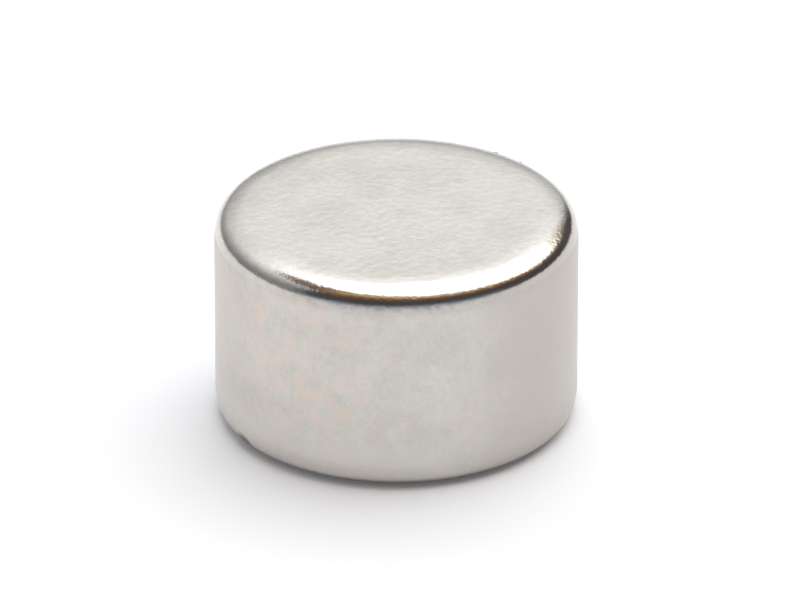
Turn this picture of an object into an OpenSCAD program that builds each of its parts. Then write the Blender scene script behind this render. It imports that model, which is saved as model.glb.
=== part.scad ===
// Nickel-plated disc magnet, 5 mm across and 3 mm thick.
// One sintered piece: two flat faces, a ground side wall, and both rims worn
// round by tumbling before they were plated. All lengths are millimetres.
// The disc stands on z = 0 and the z axis runs through its middle.

/* [Disc] */
// Diameter over the side wall
disc_d = 5; // [3:0.5:50]
// Thickness between the two flat faces
disc_t = 3; // [2:0.5:30]

/* [Tumbled rims] */
// Radius of the tight round in the middle of a rim
corner_r = 0.24; // [0.04:0.02:0.3]
// Radius of the shallow arcs that ease the round into the face and the wall
ease_r = 0.74; // [0.6:0.02:1]
// How much further the shallow arcs reach than the tight round's centre
ease_w = 0.14; // [0.02:0.02:0.26]

/* [Nick in the lower rim] */
// Radius of the shallow hollow that a knock left in the rim
nick_r = 0.5; // [0.1:0.05:1]
// Depth of the hollow, measured into the rim
nick_depth = 0.02; // [0.01:0.005:0.04]
// Direction of the nick round the disc, in degrees from the +x axis
nick_turn = 212; // [0:1:359]
// How far below level the rim faces at the nick, in degrees
nick_dip = 35; // [20:5:70]

/* [Hidden] */

// Facets of a full turn in the preview
preview_fn = 180;

disc_r = disc_d / 2;

// A rim is three arcs with shared tangents, the same on the face's side as on
// the wall's. Where two arcs meet, both their centres and the meeting point lie
// on one straight line, and that line's slope gives the rest of the rim.
centre_gap = ease_r - corner_r;
centre_rise = sqrt(centre_gap ^ 2 - ease_w ^ 2);
meet_line = [ease_w, centre_rise] / centre_gap;

// How far the tight round's centre lies inside both the face and the wall
rim_inset = ease_r - centre_rise;

// The rim's corners, from face to wall, seen from the tight round's centre
rim_corners = [
    [-ease_w, rim_inset],
    corner_r * meet_line,
    corner_r * swap(meet_line),
    [rim_inset, -ease_w]
];

function swap(p) = [p.y, p.x];

// A point of the rim set into the section, which it rounds at that end
function upper(p) = [disc_r - rim_inset + p.x, disc_t - rim_inset + p.y];
function lower(p) = [disc_r - rim_inset + p.x, rim_inset - p.y];

// A slice of a round between two directions, given as unit vectors
module slice(radius, from, to) {
    past = 2 * radius;
    intersection() {
        circle(r = radius, $fn = preview_fn);
        polygon([[0, 0], past * from, past * to]);
    }
}

// The three slices that round the upper rim
module rim_slices() {
    translate(upper([0, 0]))
        slice(corner_r, swap(meet_line), meet_line);
    translate(upper([-ease_w, -centre_rise]))
        slice(ease_r, meet_line, [0, 1]);
    translate(upper([-centre_rise, -ease_w]))
        slice(ease_r, [1, 0], swap(meet_line));
}

// Half of the section through the axis, which is turned to make the disc
module half_section() {
    polygon([
        [0, 0],
        for (i = [0:3]) lower(rim_corners[i]),
        for (i = [3:-1:0]) upper(rim_corners[i]),
        [0, disc_t]
    ]);
    rim_slices();
    translate([0, disc_t])
        mirror([0, 1])
            rim_slices();
}

// The ball that hollows the nick, centred outside the lower rim's tight round
module nick() {
    reach = corner_r + nick_r - nick_depth;
    middle = lower(reach * [cos(nick_dip), sin(nick_dip)]);
    rotate(nick_turn)
        translate([middle.x, 0, middle.y])
            sphere(r = nick_r, $fn = preview_fn);
}

// The whole magnet: the turned section, less the nick in its lower rim
module magnet() {
    color([0.80, 0.79, 0.76])
        difference() {
            rotate_extrude($fn = preview_fn)
                half_section();
            nick();
        }
}

magnet();
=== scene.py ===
# %% [markdown]
# # A small disc magnet, tumbled and nickel plated
#
# The object is one sintered piece, 5 mm across and 3 mm thick. It has two flat
# faces, a ground side wall, and rims that tumbling wore round before the piece
# was plated. Almost all of its looks are reflections: a satin face that mirrors
# a pale backdrop, a bright band where the rim turns up to the lamp, and a thin
# dark line where it turns on to the unlit part of the room.
#
# So the lesson has three parts. First the form, turned like on a lathe. Then
# the plating, a metal with a fine grain. Then the studio, which does half of
# the work, because a metal shows what stands round it.

# %% The frame
import math
import bpy
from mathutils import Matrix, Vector


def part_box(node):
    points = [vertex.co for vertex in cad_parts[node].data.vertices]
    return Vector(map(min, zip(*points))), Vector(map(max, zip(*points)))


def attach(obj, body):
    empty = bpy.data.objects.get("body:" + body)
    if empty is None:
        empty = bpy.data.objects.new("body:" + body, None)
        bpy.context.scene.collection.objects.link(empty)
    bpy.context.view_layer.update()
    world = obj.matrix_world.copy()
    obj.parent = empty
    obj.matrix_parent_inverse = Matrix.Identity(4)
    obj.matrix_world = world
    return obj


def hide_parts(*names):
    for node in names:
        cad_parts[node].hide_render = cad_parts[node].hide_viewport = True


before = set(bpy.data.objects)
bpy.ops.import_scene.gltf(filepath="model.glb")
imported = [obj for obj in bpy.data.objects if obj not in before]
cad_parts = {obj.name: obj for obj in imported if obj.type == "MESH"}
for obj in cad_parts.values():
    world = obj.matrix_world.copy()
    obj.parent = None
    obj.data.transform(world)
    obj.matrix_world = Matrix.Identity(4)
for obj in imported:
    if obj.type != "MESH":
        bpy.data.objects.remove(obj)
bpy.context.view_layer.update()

# %% [markdown]
# ## Sizes
#
# Everything is in metres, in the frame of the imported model. The thickness and
# the radius are read from it. The rim's three arcs are those of the part: a
# tight round in the middle and a shallow arc on each side that eases it into
# the face and the wall. An arc eases in over the angle whose sine is the
# reach divided by the distance between the two centres, and the rest of the
# quarter turn is left for the tight round.

# %% Sizes of the disc
MM = 0.001
UM = 0.000001

low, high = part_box("magnet")
disc_t = high.z
disc_r = high.x

corner_r = 0.24 * MM
ease_r = 0.74 * MM
ease_w = 0.14 * MM

centre_gap = ease_r - corner_r
ease_angle = math.asin(ease_w / centre_gap)
corner_angle = math.pi / 2 - 2 * ease_angle
rim_inset = ease_r - math.sqrt(centre_gap ** 2 - ease_w ** 2)
rim_w = rim_inset + ease_w
flat_r = disc_r - rim_w
wall_h = disc_t - 2 * rim_w
print("rim", round(rim_w / MM, 3), "mm wide, flat face", round(2 * flat_r / MM, 3), "mm across")

# %% [markdown]
# ## The camera
#
# The photograph was taken from a little above, about 27 degrees, with a long
# lens from some 140 mm away. The place and the lens come from fitting the
# disc's outline, and the camera looks at a point near the middle of the disc.

# %% The camera
camera_place = Vector((0, -124.29, 66.15)) * MM
camera_target = Vector((0.05, 0, 1.64)) * MM
lens_mm = 458


def aim(thing, target):
    """Turns a camera or a lamp, which look along their own -Z, towards a point."""
    thing.rotation_euler = (target - thing.location).to_track_quat("-Z", "Y").to_euler()


camera_data = bpy.data.cameras.new("camera")
camera_data.lens = lens_mm
camera_data.clip_start = 1 * MM
camera = bpy.data.objects.new("camera", camera_data)
bpy.context.collection.objects.link(camera)
camera.location = camera_place
aim(camera, camera_target)
bpy.context.scene.camera = camera
bpy.context.scene.view_settings.view_transform = "Standard"
print("camera", round((camera_place - camera_target).length / MM, 1), "mm from the disc")

# %% [markdown]
# ## The turned form
#
# The real piece is pressed and ground, and its rims are rounded in a barrel. In
# Blender its form is turned: half of the section is drawn in edit mode, one
# point after another, and then spun round the axis. A cylinder with a bevel
# would be quicker, but a bevel makes one round, and these rims have three arcs.
#
# The section starts from a plane that is merged to a single point. A straight
# stretch is that point extruded, and an arc is that point spun round the arc's
# centre, so each arc is exact and no table of points is needed.
#
# Where a flat meets an arc, the smooth shading bends the flat's normals a
# little, over the whole of its last face. A metal shows that as a faint ring,
# so a very narrow face, the hold, keeps the bend within a few micrometres.

# %% Tools for drawing a section
def start_point(name):
    """A mesh of one point at the origin, left in edit mode."""
    bpy.ops.object.select_all(action="DESELECT")
    bpy.ops.mesh.primitive_plane_add(size=MM)
    made = bpy.context.object
    made.name = name
    bpy.ops.object.mode_set(mode="EDIT")
    bpy.ops.mesh.select_all(action="SELECT")
    bpy.ops.mesh.merge(type="CENTER")
    return made


def draw_line(along, up, pieces):
    """Extrudes the selected point in equal steps, along x and up z."""
    step = Vector((along, 0, up)) / pieces
    for _ in range(pieces):
        bpy.ops.mesh.extrude_region_move(TRANSFORM_OT_translate={"value": step})


def draw_arc(centre_x, centre_z, angle, pieces):
    """Spins the selected point round a centre in the plane of the section."""
    bpy.ops.mesh.spin(steps=pieces, angle=angle, center=(centre_x, 0, centre_z), axis=(0, 1, 0))


# %% The half section, from the lower face to the upper one
FACE_PIECES = 6
EASE_PIECES = 10
CORNER_PIECES = 16
WALL_PIECES = 8
HOLD = 4 * UM

disc = start_point("magnet_disc")
draw_line(flat_r - HOLD, 0, FACE_PIECES)
draw_line(HOLD, 0, 1)
draw_arc(flat_r, ease_r, ease_angle, EASE_PIECES)
draw_arc(disc_r - rim_inset, rim_inset, corner_angle, CORNER_PIECES)
draw_arc(disc_r - ease_r, rim_w, ease_angle, EASE_PIECES)
draw_line(0, HOLD, 1)
draw_line(0, wall_h - 2 * HOLD, WALL_PIECES)
draw_line(0, HOLD, 1)
draw_arc(disc_r - ease_r, disc_t - rim_w, ease_angle, EASE_PIECES)
draw_arc(disc_r - rim_inset, disc_t - rim_inset, corner_angle, CORNER_PIECES)
draw_arc(flat_r, disc_t - ease_r, ease_angle, EASE_PIECES)
draw_line(-HOLD, 0, 1)
draw_line(HOLD - flat_r, 0, FACE_PIECES)

bpy.ops.object.mode_set(mode="OBJECT")
drawn_end = next(v.co.copy() for v in disc.data.vertices if v.select)
widest = max(v.co.x for v in disc.data.vertices)
print("section of", len(disc.data.vertices), "points, widest", round(widest / MM, 5), "mm")
print("it ends at", [round(c / MM, 5) for c in drawn_end], "mm")

# %% [markdown]
# The section is turned by a Screw modifier, which is a lathe: the spin operator
# makes the same shell, but takes far longer at this many steps. The last copy
# meets the first, and the ends of the section lie on the axis, so the modifier
# merges them, over a gap far below the mesh's spacing. The normals are then
# worked out again, so that every face points outwards.

# %% Turning the section
TURN_STEPS = 720
MERGE_GAP = 0.05 * UM

lathe = disc.modifiers.new("lathe", "SCREW")
lathe.axis = "Z"
lathe.angle = 2 * math.pi
lathe.steps = TURN_STEPS
lathe.render_steps = TURN_STEPS
lathe.use_merge_vertices = True
lathe.merge_threshold = MERGE_GAP
bpy.ops.object.modifier_apply(modifier=lathe.name)

bpy.ops.object.mode_set(mode="EDIT")
bpy.ops.mesh.select_all(action="SELECT")
bpy.ops.mesh.remove_doubles(threshold=MERGE_GAP)
bpy.ops.mesh.normals_make_consistent(inside=False)
bpy.ops.object.mode_set(mode="OBJECT")
bpy.ops.object.shade_smooth()
print("disc", len(disc.data.vertices), "points,", len(disc.data.polygons), "faces")

# %% [markdown]
# ## The marks of handling
#
# Two kinds of mark show on this piece. A knock has left a shallow nick in the
# lower rim at the front left. A ball of the same size as in the part is held
# there, and a Shrinkwrap modifier moves whatever lies inside it out to its
# surface, which is just what the knock did.
#
# Two specks of plating stand proud of the upper rim at the back right. Each is
# one point pulled outwards with proportional editing, so its neighbours follow.

# %% The nick
nick_r = 0.5 * MM
nick_depth = 0.02 * MM
nick_turn = math.radians(212)
nick_dip = math.radians(35)


def around(radius, turn, height):
    """The point at that distance from the axis, turned from +x, at that height."""
    return Vector((radius * math.cos(turn), radius * math.sin(turn), height))


nick_reach = corner_r + nick_r - nick_depth
nick_centre = around(
    disc_r - rim_inset + nick_reach * math.cos(nick_dip),
    nick_turn,
    rim_inset - nick_reach * math.sin(nick_dip),
)
bpy.ops.object.select_all(action="DESELECT")
bpy.ops.mesh.primitive_ico_sphere_add(subdivisions=7, radius=nick_r, location=nick_centre)
ball = bpy.context.object

bpy.ops.object.select_all(action="DESELECT")
disc.select_set(True)
bpy.context.view_layer.objects.active = disc
before = [v.co.copy() for v in disc.data.vertices]
knock = disc.modifiers.new("knock", "SHRINKWRAP")
knock.target = ball
knock.wrap_method = "NEAREST_SURFACEPOINT"
knock.wrap_mode = "OUTSIDE"
bpy.ops.object.modifier_apply(modifier=knock.name)
bpy.data.objects.remove(ball)
moves = [(v.co - old).length for v, old in zip(disc.data.vertices, before)]
print("nick", round(max(moves) / UM, 1), "um deep,", sum(m > 0.1 * UM for m in moves), "points moved")

# %% The proud specks
SPECKS = [
    {"turn": math.radians(53.9), "radius": 2.366 * MM, "width": 0.055 * MM, "height": 0.013 * MM},
    {"turn": math.radians(43.4), "radius": 2.380 * MM, "width": 0.050 * MM, "height": 0.012 * MM},
]


def raise_speck(turn, radius, width, height):
    """Pulls the rim's nearest point outwards, and its neighbours with it."""
    drop = math.acos((radius - disc_r + rim_inset) / corner_r)
    place = around(radius, turn, disc_t - rim_inset + corner_r * math.sin(drop))
    for mesh_part in (disc.data.vertices, disc.data.edges, disc.data.polygons):
        mesh_part.foreach_set("select", [False] * len(mesh_part))
    nearest = min(disc.data.vertices, key=lambda v: (v.co - place).length)
    nearest.select = True
    outwards = nearest.normal * height
    bpy.ops.object.mode_set(mode="EDIT")
    bpy.ops.mesh.select_mode(type="VERT")
    bpy.ops.transform.translate(
        value=outwards,
        use_proportional_edit=True,
        proportional_edit_falloff="SMOOTH",
        proportional_size=width,
    )
    bpy.ops.object.mode_set(mode="OBJECT")
    return place


for speck in SPECKS:
    print("speck at", [round(c / MM, 3) for c in raise_speck(**speck)])

# %% [markdown]
# ## Writing shaders as sums
#
# A material is a net of nodes, and most of them only add or multiply. A small
# class lets Python's own signs add those nodes, so that a finish reads like the
# sum it is. Each sign has a reflected form too, for a number that stands first,
# as in 1 - mask. Every other node comes from one method, which takes the node's
# kind, its settings, and the values or links of its sockets.

# %% Shader maths
class Wire:
    """A socket that carries a value, with Python's arithmetic."""

    def __init__(self, shader, socket):
        self.shader = shader
        self.socket = socket

    def math(self, operation, first, second=0):
        return self.shader.add("Math", {"operation": operation}, {0: first, 1: second})

    def __add__(self, other):
        return self.math("ADD", self, other)

    def __radd__(self, other):
        return self.math("ADD", other, self)

    def __sub__(self, other):
        return self.math("SUBTRACT", self, other)

    def __rsub__(self, other):
        return self.math("SUBTRACT", other, self)

    def __mul__(self, other):
        return self.math("MULTIPLY", self, other)

    def __rmul__(self, other):
        return self.math("MULTIPLY", other, self)

    def __truediv__(self, other):
        return self.math("DIVIDE", self, other)

    def __rtruediv__(self, other):
        return self.math("DIVIDE", other, self)


# %% A net of nodes
class Shader:
    """The net of one material, or of the world."""

    def __init__(self, tree):
        self.tree = tree
        self.tree.nodes.clear()

    def add(self, kind, settings, sockets, out=0):
        """Adds a node, sets it, fills its sockets and returns one output, or several."""
        node = self.tree.nodes.new("ShaderNode" + kind)
        for name, value in settings.items():
            setattr(node, name, value)
        for key, value in sockets.items():
            if isinstance(value, Wire):
                self.tree.links.new(value.socket, node.inputs[key])
            else:
                node.inputs[key].default_value = value
        if isinstance(out, tuple):
            return [Wire(self, node.outputs[name]) for name in out]
        return Wire(self, node.outputs[out]) if len(node.outputs) else None

    def ramp(self, value, start, end, first=0.0, last=1.0):
        """A number that goes smoothly from first to last as value goes from start to end."""
        settings = {"interpolation_type": "SMOOTHSTEP"}
        return self.add("MapRange", settings, {0: value, 1: start, 2: end, 3: first, 4: last})

    def blend(self, share, first, second):
        """The first colour where share is 0, the second where it is 1."""
        settings = {"data_type": "RGBA", "clamp_factor": True}
        return self.add("Mix", settings, {0: share, 6: first, 7: second}, out=2)

    def scaled(self, colour, level):
        """A colour or a direction, made longer or shorter."""
        return self.add("VectorMath", {"operation": "SCALE"}, {0: colour, 3: level})

    def noise(self, place, size, detail=2.0, rough=0.5):
        """A cloudy number from 0 to 1 whose patches are about that size."""
        sockets = {"Vector": place, "Scale": 1 / size, "Detail": detail, "Roughness": rough}
        return self.add("TexNoise", {"noise_dimensions": "3D"}, sockets)


# %% [markdown]
# ## The plating
#
# Bright nickel over a tumbled body: a metal of a slightly warm grey. Nearly all
# of its looks are mirrored, so the finish is a matter of how smooth it is and
# how it is bumped, and only a little of its colour.
#
# It differs from place to place, so the material first works out where it is.
# The distance from the axis tells the face from the rest. The sink, which is the
# depth below the nearer flat face, tells a rim from the wall. Each part of the
# disc becomes a mask, a number from 0 to 1.
#
# The polish of a rim ends short of the wall. At the upper rim its end is hidden
# in the dark line. The lower rim counts its sink from a little below the floor,
# so that its polish ends close above the floor.

# %% The parts of the disc as masks
FACE_END = (flat_r - 0.05 * MM, flat_r + 0.20 * MM)
POLISH_END = (0.31 * MM, 0.21 * MM)
TIGHT_TURN = (0.22 * MM, 0.08 * MM)
FOOT_SHIFT = 0.13 * MM
GRAIN = 45 * UM
FLECKS = 120 * UM


class Spot:
    """A point of the disc's surface: where it is, on which part, and its grain."""

    def __init__(self, shader):
        self.place = shader.add("TexCoord", {}, {}, out="Object")
        self.x, y, self.z = shader.add("SeparateXYZ", {}, {0: self.place}, out=("X", "Y", "Z"))
        self.radius = shader.add("Math", {"operation": "SQRT"}, {0: self.x * self.x + y * y})
        depths = {0: disc_t - self.z, 1: self.z + FOOT_SHIFT}
        self.sink = shader.add("Math", {"operation": "MINIMUM"}, depths)

        self.off_face = shader.ramp(self.radius, *FACE_END)
        off_wall = shader.ramp(self.sink, *POLISH_END)
        self.rim = self.off_face * off_wall
        self.wall = self.off_face * (1 - off_wall)
        self.tight = self.off_face * shader.ramp(self.sink, *TIGHT_TURN)

        self.grain = shader.noise(self.place, GRAIN, detail=1, rough=0.6)
        self.flecks = shader.noise(self.place, FLECKS, detail=1)


print("polish ends", round(POLISH_END[0] / MM, 2), "mm below the upper face and",
      round((POLISH_END[0] - FOOT_SHIFT) / MM, 2), "mm above the floor")

# %% [markdown]
# The grey is mottled finely by the grain and widely by clouds. The wall has
# faint warm patches on its left, where the plating is a little thinner. It is
# painted darker and more even towards its right, and a little darker at its
# far left too, which is painted shade. Low down in the middle and on the left,
# where the wall mirrors the shaded paper, it is painted a little brighter, a
# painted light that makes up for that shade. The tight edge at the foot is
# painted dark brown as shade for the dark line of contact, and the nick is
# tarnished. Each pair of places says where such a change begins and where it
# is complete.

# %% The colours of the plating
NICKEL = (0.640, 0.620, 0.580, 1)
NICKEL_DARK = (0.545, 0.530, 0.500, 1)
NICKEL_WARM = (0.690, 0.585, 0.520, 1)
NICKEL_PAINTED_SHADE = (0.489, 0.458, 0.422, 1)
NICKEL_PAINTED_LIGHT = (0.720, 0.695, 0.655, 1)
CLOUDS = 700 * UM
PATCHES = 250 * UM
WARM_LEFT = (0.4 * MM, -1.2 * MM)
BELOW_FACE = (0.05 * MM, 0.20 * MM)
PAINTED_SHADE_RIGHT = (0.4 * MM, 2.2 * MM)
PAINTED_SHADE_FAR_LEFT = (-1.7 * MM, -2.4 * MM)
PAINTED_LIGHT_LOW = (0.95 * MM, 0.45 * MM)
PAINTED_LIGHT_LEFT = (1.3 * MM, 0.2 * MM)


def plating_colour(shader, spot):
    """The colour of the nickel, with painted shade on its sides and painted light low down."""
    mottle = shader.ramp(0.5 * spot.grain + 0.5 * spot.flecks, 0.38, 0.62)
    clouds = shader.ramp(shader.noise(spot.place, CLOUDS, detail=4, rough=0.6), 0.4, 0.62)
    colour = shader.blend(0.4 * mottle + 0.5 * clouds, NICKEL, NICKEL_DARK)

    patches = shader.ramp(shader.noise(spot.place, PATCHES, detail=3, rough=0.6), 0.42, 0.70)
    warm = patches * shader.ramp(spot.x, *WARM_LEFT, 0.15, 0.80)
    colour = shader.blend(spot.wall * warm, colour, NICKEL_WARM)

    # Painted shade: the wall and rims darker on the right, the wall darker at the far left.
    below_face = spot.off_face * shader.ramp(spot.sink, *BELOW_FACE)
    right = below_face * shader.ramp(spot.x, *PAINTED_SHADE_RIGHT)
    far_left = spot.wall * shader.ramp(spot.x, *PAINTED_SHADE_FAR_LEFT)
    colour = shader.blend(0.85 * right + 0.5 * far_left, colour, NICKEL_PAINTED_SHADE)

    # Painted light: the wall brighter low down, making up for the shaded paper it mirrors.
    low_down = shader.ramp(spot.z, *PAINTED_LIGHT_LOW) * shader.ramp(spot.x, *PAINTED_LIGHT_LEFT)
    return shader.blend(0.5 * (spot.off_face * low_down), colour, NICKEL_PAINTED_LIGHT)


# %% The tarnish in the nick and the painted shade at the foot
TARNISH_AND_SHADE = (0.210, 0.165, 0.115, 1)
PAINTED_FOOT_SHADE = (0.13 * MM, 0.05 * MM)
NICK_EDGE = (nick_r + 45 * UM, nick_r + 10 * UM)


def stained_and_shaded(shader, spot, colour):
    """That colour, tarnished in the nick and painted dark at the foot as shade."""
    ends = {0: spot.place, 1: nick_centre}
    gap = shader.add("VectorMath", {"operation": "DISTANCE"}, ends, out="Value")
    nick = shader.ramp(gap, *NICK_EDGE) * (0.25 + 0.8 * spot.grain)
    # Painted shade: the tight edge at the foot darkened brown for the line of contact.
    foot = 0.6 * shader.ramp(spot.z, *PAINTED_FOOT_SHADE)
    stain_and_shade = shader.add("Math", {"operation": "MAXIMUM"}, {0: nick, 1: foot})
    return shader.blend(stain_and_shade, colour, TARNISH_AND_SHADE)


# The dark at the foot is painted shade; this prints how high it reaches.
print("tarnish up to", round(PAINTED_FOOT_SHADE[0] / MM, 2), "mm above the floor")

# %% [markdown]
# The grain, 45 to 120 micrometres across, is a bump, because it is far too fine
# for the mesh. It makes the face look like felt, and on the rims it frays the
# edges of what they mirror. Tumbling has also pitted the rims, most of all where
# they turn tightest.
#
# It has left the face very slightly rolled off near the rim, which is a bump
# too: the slope grows over the width of the roll-off and then stays the same.
# All heights are in micrometres.

# %% The relief of the plating
PITS = 50 * UM
GRAIN_HEIGHT = 0.5
FLECK_HEIGHT = 4.3
FLECK_WORN = 2.5
RIM_PITS = 0.7
TIGHT_PITS = 2.6
ROLL_START = 1.88 * MM
ROLL_W = 0.22 * MM
ROLL_SLOPE = math.tan(math.radians(4.3))


def roll_off(shader, spot):
    """How far the face has sunk towards its rim."""
    over = shader.add("Math", {"operation": "MAXIMUM"}, {0: spot.radius - ROLL_START, 1: 0})
    near = shader.add("Math", {"operation": "MINIMUM"}, {0: over, 1: ROLL_W})
    return (near * near / (2 * ROLL_W) + over - near) * (ROLL_SLOPE / UM)


def plating_bump(shader, spot):
    """The grain, the pits and the roll-off as a bent normal."""
    felt = GRAIN_HEIGHT * spot.grain + spot.flecks * (FLECK_HEIGHT - FLECK_WORN * spot.rim)
    pitted = RIM_PITS * spot.rim + TIGHT_PITS * spot.tight
    height = felt + shader.noise(spot.place, PITS, detail=2) * pitted - roll_off(shader, spot)
    return shader.add("Bump", {}, {"Strength": 1.0, "Distance": UM, "Height": height})


print("roll-off", round(ROLL_W * ROLL_SLOPE / 2 / UM, 1), "um at the edge of the flat")

# %% [markdown]
# The plating is one metal shader. Tumbling has polished the rims more than the
# face, and the wall is a little rougher than both.

# %% The nickel plating
FACE_ROUGH = 0.31
RIM_POLISH = 0.14
WALL_ROUGHER = 0.04
GRAIN_ROUGH = 0.08


def plating():
    material = bpy.data.materials.new("nickel_plating")
    material.use_nodes = True
    shader = Shader(material.node_tree)
    spot = Spot(shader)
    rough = FACE_ROUGH - RIM_POLISH * spot.rim + WALL_ROUGHER * spot.wall
    metal = shader.add("BsdfPrincipled", {}, {
        "Base Color": stained_and_shaded(shader, spot, plating_colour(shader, spot)),
        "Metallic": 1.0,
        "Roughness": rough + GRAIN_ROUGH * (spot.grain - 0.5),
        "Normal": plating_bump(shader, spot),
    })
    shader.add("OutputMaterial", {}, {"Surface": metal})
    return material


disc.data.materials.append(plating())
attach(disc, "root")
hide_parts("magnet")
print("plating of", len(disc.data.materials[0].node_tree.nodes), "nodes")

# %% [markdown]
# ## The floor
#
# A sheet of white paper. The camera and mirror images see it a little brighter
# and cooler than the light that it throws back, with a faint glow of its own,
# so that it reads as white and still keeps the magnet's shadow. Round the
# magnet the glow is stronger, a painted pool of light for the light that its
# metal throws on to the paper, and under the rim it is weaker, a painted shade
# that keeps the line of contact dark. Further away, beyond the camera's view,
# the paper is painted greyer, a painted shade for the lamp's light that reaches
# it less, and that is the soft lower edge of the dark line in the rim.

# %% The floor
FLOOR_SIDE = 1200 * MM
PAPER_LIT = (0.80, 0.80, 0.80, 1)
PAPER_SEEN = (0.92, 0.94, 0.97, 1)
PAPER_FAR_PAINTED_SHADE = (0.82, 0.80, 0.80, 1)
PAPER_GLOW = (0.140, 0.155, 0.175)
PAINTED_GREYING = (14 * MM, 60 * MM)
PAINTED_CONTACT_SHADE = (2.32 * MM, 2.70 * MM)
PAINTED_POOL_OF_LIGHT = (4.4 * MM, 3.0 * MM)


def paper():
    material = bpy.data.materials.new("white_paper")
    material.use_nodes = True
    shader = Shader(material.node_tree)
    kinds = ("Is Camera Ray", "Is Glossy Ray", "Is Transmission Ray")
    camera_ray, mirrored, through = shader.add("LightPath", {}, {}, out=kinds)
    place = shader.add("TexCoord", {}, {}, out="Object")
    reach = shader.add("VectorMath", {"operation": "LENGTH"}, {0: place}, out="Value")

    # Painted light and shade on the paper: more glow round the magnet, less under its rim.
    glow_and_painted_light = shader.ramp(reach, *PAINTED_CONTACT_SHADE, 0.25, 0.95) + 0.2 * shader.ramp(reach, *PAINTED_POOL_OF_LIGHT)
    lit = shader.add("BsdfDiffuse", {}, {"Color": PAPER_LIT})
    seen = shader.add("BsdfPrincipled", {}, {
        # Painted shade: the paper turns greyer far from the magnet.
        "Base Color": shader.blend(shader.ramp(reach, *PAINTED_GREYING), PAPER_SEEN, PAPER_FAR_PAINTED_SHADE),
        "Roughness": 1.0,
        "Specular IOR Level": 0.0,
        "Emission Color": shader.scaled(PAPER_GLOW, glow_and_painted_light),
        "Emission Strength": 1.0,
    })
    sheet = shader.add("MixShader", {}, {0: camera_ray + mirrored + through, 1: lit, 2: seen})
    shader.add("OutputMaterial", {}, {"Surface": sheet})
    return material


bpy.ops.object.select_all(action="DESELECT")
bpy.ops.mesh.primitive_plane_add(size=FLOOR_SIDE)
floor = bpy.context.object
floor.name = "floor"
floor.data.materials.append(paper())
print("floor", round(FLOOR_SIDE / MM), "mm square")

# %% [markdown]
# ## The lamp
#
# A large oval softbox hangs over the disc, a little behind it and to the right,
# with its long side towards the back right. It makes the bright band on the
# front of the rim, because there the metal's slope turns the camera's view up
# to it, and it throws the soft shadow that falls to the left.
#
# Its place and its half widths are given for a height of one, and everything
# is then multiplied by the real height.

# %% The softbox
LAMP_HEIGHT = 250 * MM
LAMP_SPOT = Vector((0.46, 0.48, 1.0))
LAMP_HALF_W = 0.72
LAMP_HALF_L = 0.92
LAMP_TURN = math.radians(-47.5)
LAMP_LEVEL = 2.5

lamp_data = bpy.data.lights.new("softbox", "AREA")
lamp_data.shape = "ELLIPSE"
lamp_data.size = 2 * LAMP_HALF_W * LAMP_HEIGHT
lamp_data.size_y = 2 * LAMP_HALF_L * LAMP_HEIGHT
lamp_area = math.pi * LAMP_HALF_W * LAMP_HALF_L * LAMP_HEIGHT ** 2
lamp_data.energy = LAMP_LEVEL * math.pi * lamp_area
lamp = bpy.data.objects.new("softbox", lamp_data)
bpy.context.collection.objects.link(lamp)
lamp.location = LAMP_SPOT * LAMP_HEIGHT
lamp.rotation_euler = (0, 0, LAMP_TURN)
lamp.visible_camera = False
print("softbox", round(lamp_data.size / MM), "by", round(lamp_data.size_y / MM), "mm,",
      round(lamp_data.energy, 2), "W")

# %% [markdown]
# ## The room
#
# A metal shows the whole room, so the room is part of its looks. It is painted
# in the world by direction, and it is the same for every kind of ray, so what
# the metal mirrors is what lights the floor.
#
# A direction has a rise, its angle above the floor, and a swing, its angle round
# the disc from the front by way of the left, both in degrees. It also lies some
# way outside the softbox: 0 at the oval's edge, and 1 at twice the oval's size.

# %% Directions in the room
DEGREE = math.radians(1)
SWING_LOW = -100
LOWEST_LIFT = 0.02


class Way:
    """A direction: its rise, its swing and how far outside the lamp it lies."""

    def __init__(self, shader):
        direction = shader.add("TexCoord", {}, {}, out="Generated")
        x, y, z = shader.add("SeparateXYZ", {}, {0: direction}, out=("X", "Y", "Z"))
        self.rise = shader.add("Math", {"operation": "ARCSINE"}, {0: z}) / DEGREE
        turn = shader.add("Math", {"operation": "ARCTAN2"}, {0: 0 - x, 1: 0 - y}) / DEGREE
        swings = {0: turn, 1: SWING_LOW + 360, 2: SWING_LOW}
        self.swing = shader.add("Math", {"operation": "WRAP"}, swings)

        per_lift = 1 / shader.add("Math", {"operation": "MAXIMUM"}, {0: z, 1: LOWEST_LIFT})
        across = x * per_lift - LAMP_SPOT.x
        along = y * per_lift - LAMP_SPOT.y
        side = (across * math.cos(LAMP_TURN) + along * math.sin(LAMP_TURN)) / LAMP_HALF_W
        end = (along * math.cos(LAMP_TURN) - across * math.sin(LAMP_TURN)) / LAMP_HALF_L
        self.outside = shader.add("Math", {"operation": "SQRT"}, {0: side * side + end * end}) - 1


# %% [markdown]
# On the left and behind stands a curved white screen. Elsewhere the studio is
# unlit and nearly black, with a cool haze low down in front and on the left.
# Round the lamp the dark turns brown, but not at the back right, and the lamp's
# cloth skirt glows a little at its edge. Above the screen both are faint. Each
# pair of angles or sizes says where such a change begins and where it is
# complete.

# %% The unlit studio
UNLIT = (0.085, 0.080, 0.086, 1)
HAZE = (0.38, 0.43, 0.53, 1)
BROWN = (0.440, 0.190, 0.060, 1)
SKIRT = (0.75, 0.56, 0.32, 1)
HAZE_RISE = (16, 0)
HAZE_FRONT_END = (-90, -40)
SCREEN_BACK_END = (205, 193)
BACK_RIGHT_START = (190, 200)
BACK_RIGHT_END = (256, 238)
FAINT_START = (45, 75)
FAINT_END = (200, 190)
BROWN_REACH = (1.25, 0.20)
SKIRT_REACH = (0.50, 0.24)


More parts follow.
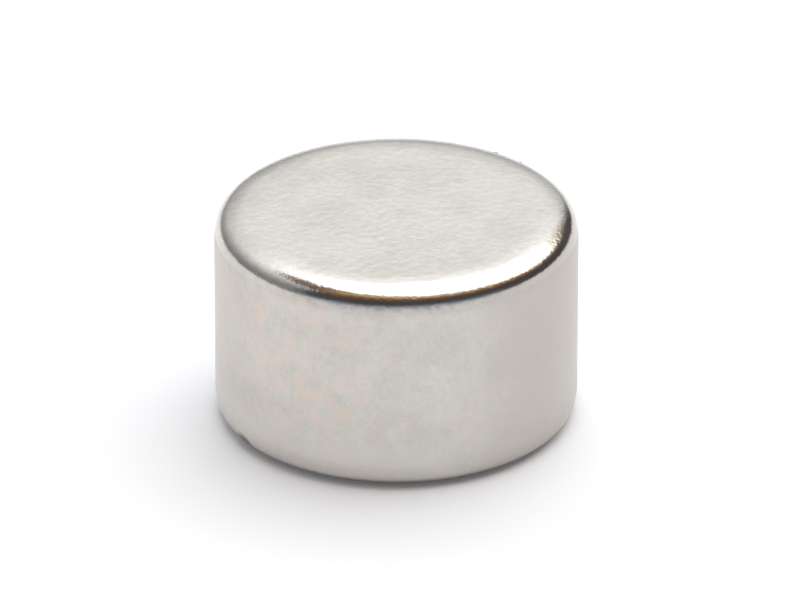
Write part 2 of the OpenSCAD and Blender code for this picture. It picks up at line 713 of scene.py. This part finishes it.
def unlit_studio(shader, way):
    """The dark of the room, with its haze, its brown and the lamp's skirt."""
    hazy = shader.ramp(way.swing, *HAZE_FRONT_END) * shader.ramp(way.swing, *SCREEN_BACK_END)
    room = shader.blend(shader.ramp(way.rise, *HAZE_RISE) * hazy, UNLIT, HAZE)
    back_right = shader.ramp(way.swing, *BACK_RIGHT_START) * shader.ramp(way.swing, *BACK_RIGHT_END)
    over_screen = 0.8 * (shader.ramp(way.swing, *FAINT_START) * shader.ramp(way.swing, *FAINT_END))
    brown = shader.ramp(way.outside, *BROWN_REACH) * (1 - back_right - over_screen)
    skirt = shader.ramp(way.outside, *SKIRT_REACH) * (1 - over_screen)
    return shader.blend(skirt, shader.blend(brown, room, BROWN), SKIRT)


# %% [markdown]
# The screen gets brighter upwards and towards the back. It ends in a slanting
# top edge, and between that edge and the lamp a dark gap is left.

# %% The white screen
SCREEN = (1.0, 1.0, 1.0)
SCREEN_FRONT_END = (57, 67)
SCREEN_LEVELS = (0.31, 2.57)
LEAN = 0.285
LEAN_SPAN = (8, 116)
SCREEN_TOP = 48.3
TOP_SLANT = 0.121


def behind_screen(shader, way, room):
    """That room, with the screen standing in front of it."""
    lean = way.rise + LEAN * (way.swing - 100)
    screen = shader.scaled(SCREEN, shader.ramp(lean, *LEAN_SPAN, *SCREEN_LEVELS))
    over_top = way.rise - TOP_SLANT * (way.swing - 80) - SCREEN_TOP
    width = shader.ramp(way.swing, *SCREEN_FRONT_END) * shader.ramp(way.swing, *SCREEN_BACK_END)
    return shader.blend(width * shader.ramp(over_top, 1, -1), room, screen)


# %% [markdown]
# The lamp gives its own light, so the world is black where the lamp hangs, or
# that part of the room would light the disc twice.

# %% The room
BLACK = (0, 0, 0, 1)
LAMP_EDGE = 0.001


def studio_room():
    world = bpy.data.worlds.new("studio")
    world.use_nodes = True
    shader = Shader(world.node_tree)
    way = Way(shader)
    room = behind_screen(shader, way, unlit_studio(shader, way))
    room = shader.blend(shader.ramp(way.outside, LAMP_EDGE, -LAMP_EDGE), room, BLACK)
    light = shader.add("Background", {}, {"Color": room, "Strength": 1.0})
    shader.add("OutputWorld", {}, {"Surface": light})
    return world


bpy.context.scene.world = studio_room()
print("room of", len(bpy.context.scene.world.node_tree.nodes), "nodes")
